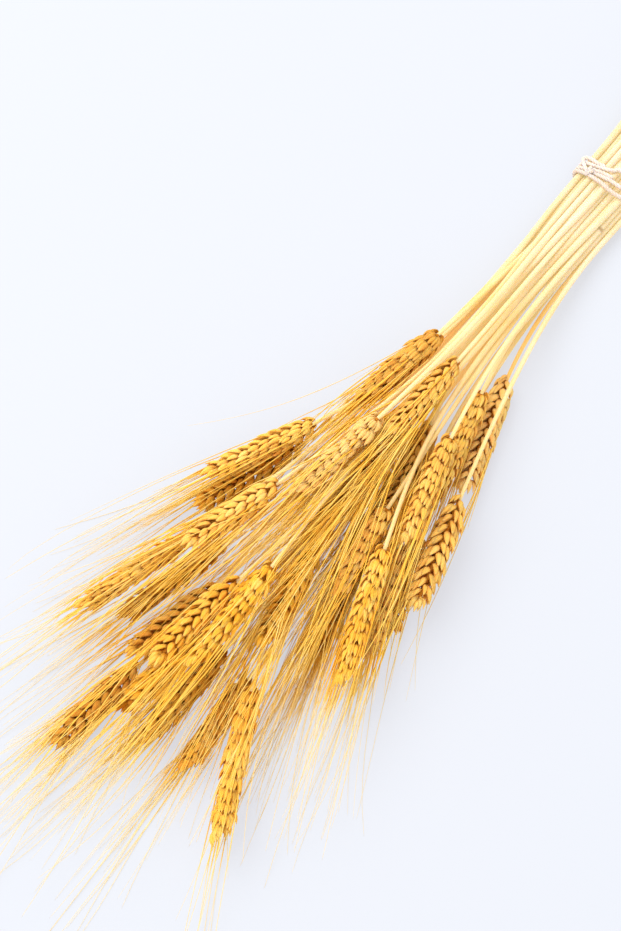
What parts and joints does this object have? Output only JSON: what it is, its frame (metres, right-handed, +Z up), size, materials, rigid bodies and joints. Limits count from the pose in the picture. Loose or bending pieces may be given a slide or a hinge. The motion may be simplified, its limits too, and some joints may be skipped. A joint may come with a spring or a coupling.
{
  "type": "dried wheat bundle",
  "caption": "Bundle of dried bearded wheat, its straws tied with twine and its ears spread in a fan, lying flat as decoration.",
  "frame": {"origin": "on the surface that the bundle lies on, under the middle of the tie", "axes": "+X runs along the bundle from the tie to the cut ends, so the ears point towards -X; +Z is up"},
  "size_m": [0.67, 0.2268, 0.0621],
  "materials": {
    "straw": "dry straw, faint sheen",
    "ear": "dry husks, matt",
    "twine": "twisted cotton"
  },
  "bodies": {
    "root": {"stem_01": "straw", "stem_02": "straw", "stem_03": "straw", "stem_04": "straw", "stem_05": "straw", "stem_06": "straw", "stem_07": "straw", "stem_08": "straw", "stem_09": "straw", "stem_10": "straw", "stem_11": "straw", "stem_12": "straw", "stem_13": "straw", "stem_14": "straw", "stem_15": "straw", "stem_16": "straw", "stem_17": "straw", "stem_18": "straw", "stem_19": "straw", "stem_20": "straw", "stem_21": "straw", "stem_22": "straw", "stem_23": "straw", "stem_24": "straw", "stem_25": "straw", "stem_26": "straw", "stem_27": "straw", "stem_28": "straw", "head_01": "ear", "head_02": "ear", "head_03": "ear", "head_04": "ear", "head_05": "ear", "head_06": "ear", "head_07": "ear", "head_08": "ear", "head_09": "ear", "head_10": "ear", "head_11": "ear", "head_12": "ear", "head_13": "ear", "head_14": "ear", "head_15": "ear", "head_16": "ear", "head_17": "ear", "head_18": "ear", "head_19": "ear", "head_20": "ear", "head_21": "ear", "head_22": "ear", "head_23": "ear", "head_24": "ear", "head_25": "ear", "head_26": "ear", "head_27": "ear", "head_28": "ear", "twine": "twine"}
  },
  "joints": []
}
